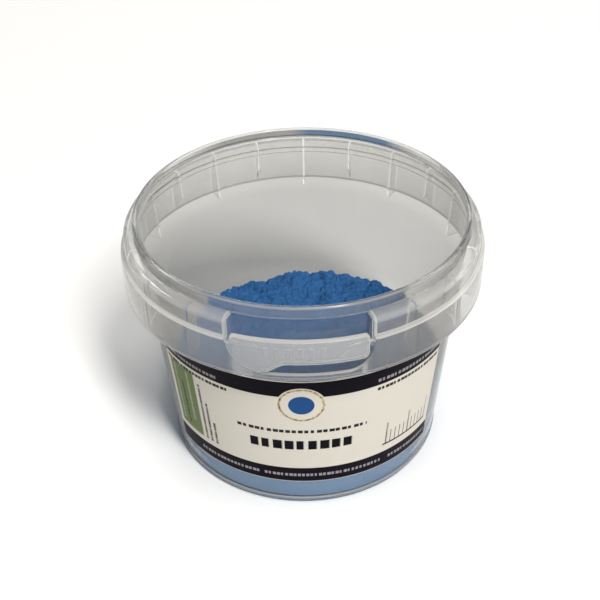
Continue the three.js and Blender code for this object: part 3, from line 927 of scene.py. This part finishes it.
def clods(x, y, size, seed, spread):
    """Rounded lumps of uneven height, one to a cell; spread is the share of the
    cell that a lump takes."""
    distances, points = noise.voronoi(Vector((x / size, y / size, seed)))
    across_lump = distances[0] / spread
    if across_lump >= 1.0:
        return 0.0
    return math.sqrt(1.0 - across_lump ** 2) * (0.35 + 0.65 * abs(noise.cell(points[0] * 7.3)))


def powder_height(x, y):
    """Height in millimetres at a place in millimetres."""
    reach = math.hypot(x, y) / wall_inside(POWDER_LEVEL)
    back = max(0.0, min(1.0, 0.45 + y / 36.0))
    sway = Vector((x + 1.6 * noise.noise(Vector((x / 3.2, y / 3.2, 3.1))),
                   y + 1.6 * noise.noise(Vector((x / 3.2, y / 3.2, 8.7))), 0.0))
    height = POWDER_LEVEL - LUMP_BASE + POWDER_TILT * x
    height += 0.35 * math.sin(0.23 * x + 1.3) * math.cos(0.19 * y - 0.4)
    height += 0.7 * noise.noise(Vector((x / 6.5, y / 6.5, 1.7)))
    loose = 0.22 + 0.78 * max(0.0, min(1.0, (reach - 0.30) / 0.45)) * back
    for rise, kept, size, seed, spread in CLODS:
        height += rise * (kept + (1 - kept) * loose) * clods(sway.x, sway.y, size, seed, spread)
    height += 0.22 * (0.4 + loose) * noise.fractal(Vector((x, y, 2.0)) * 1.3, 1.0, 2.0, 4)
    return height


for vert in bed.verts:
    edge_radius = wall_inside(POWDER_LEVEL) - POWDER_GAP
    height = powder_height(vert.co.x * edge_radius, vert.co.y * edge_radius)
    spot = vert.co.xy.length
    radius = edge_radius + (wall_inside(height) - POWDER_GAP - edge_radius) * spot ** 6
    vert.co = Vector((vert.co.x * radius * MM, vert.co.y * radius * MM, height * MM))

bed_bottom = FLOOR_TOP + BED_CLEARANCE
wall_down = bmesh.ops.extrude_edge_only(bed, edges=rim_edges)
lower = [item for item in wall_down["geom"] if isinstance(item, bmesh.types.BMVert)]
for vert in lower:
    spot = vert.co.xy.length
    vert.co.xy *= (wall_inside(bed_bottom + BED_ROUNDING) - POWDER_GAP) * MM / spot
    vert.co.z = (bed_bottom + BED_ROUNDING) * MM
low_ring = [edge for edge in bed.edges if edge.is_boundary]
inward = bmesh.ops.extrude_edge_only(bed, edges=low_ring)
last = [item for item in inward["geom"] if isinstance(item, bmesh.types.BMVert)]
for vert in last:
    vert.co.xy *= 1 - BED_ROUNDING * MM / vert.co.xy.length
    vert.co.z = bed_bottom * MM
bmesh.ops.contextual_create(bed, geom=[edge for edge in bed.edges if edge.is_boundary])
bmesh.ops.recalc_face_normals(bed, faces=bed.faces)
for face in bed.faces:
    face.smooth = True
for edge in bed.edges:
    edge.smooth = len(edge.link_faces) == 2 and edge.calc_face_angle(0) < math.radians(60)
powder = as_object(bed, "azurite_bed")

DEEP_BLUE, BODY_BLUE = (0.010, 0.060, 0.180), (0.018, 0.088, 0.240)
CRUMB_BLUE = (0.032, 0.124, 0.300)
GRAIN_LIGHT, GRAIN_DARK = (0.075, 0.190, 0.390), (0.003, 0.026, 0.095)
# paler on the steep sides where the powder lies against the wall: painted light for the lamp light that
# reaches them through the wall
PAINTED_LIGHT_BLUE = (0.150, 0.325, 0.600)

azurite = bpy.data.materials.new("ground azurite")
azurite.use_nodes = True
tree = azurite.node_tree
shader = tree.nodes["Principled BSDF"]
place_in = node_in(tree, "ShaderNodeTexCoord").outputs["Object"]
grain = cloudy(tree, place_in, 3800.0, 3.0, 0.7)
crumb = cloudy(tree, place_in, 900.0, 4.0, 0.6)
patches = cloudy(tree, place_in, 170.0, 3.0, 0.55)
body = blend_colours(tree, ramp(tree, patches, 0.3, 0.7, 0.0, 1.0), DEEP_BLUE, BODY_BLUE)
body = blend_colours(tree, ramp(tree, crumb, 0.35, 0.7, 0.0, 0.7), body, CRUMB_BLUE)
body = blend_colours(tree, ramp(tree, grain, 0.45, 0.75, 0.0, 0.6), body, GRAIN_LIGHT)
body = blend_colours(tree, ramp(tree, grain, 0.42, 0.25, 0.0, 0.7), body, GRAIN_DARK)
facing = node_in(tree, "ShaderNodeSeparateXYZ")
wire(tree, node_in(tree, "ShaderNodeNewGeometry").outputs["True Normal"], facing.inputs["Vector"])
# painted light: the steep sides of the bed are made paler
painted_side_light = ramp(tree, facing.outputs["Z"], 0.3, 0.1, 0.0, 1.0)
body = blend_colours(tree, painted_side_light, body, PAINTED_LIGHT_BLUE)
wire(tree, body, shader.inputs["Base Color"])
shader.inputs["Roughness"].default_value = 0.95
shader.inputs["Specular IOR Level"].default_value = 0.12
fine = node_in(tree, "ShaderNodeBump")
fine.inputs["Strength"].default_value = 0.9
fine.inputs["Distance"].default_value = 0.0003
wire(tree, crumb, fine.inputs["Height"])
finest = node_in(tree, "ShaderNodeBump")
finest.inputs["Strength"].default_value = 0.5
finest.inputs["Distance"].default_value = 0.00008
wire(tree, grain, finest.inputs["Height"])
wire(tree, fine.outputs["Normal"], finest.inputs["Normal"])
wire(tree, finest.outputs["Normal"], shader.inputs["Normal"])
powder.data.materials.append(azurite)
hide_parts("pigment")
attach(powder, "root")
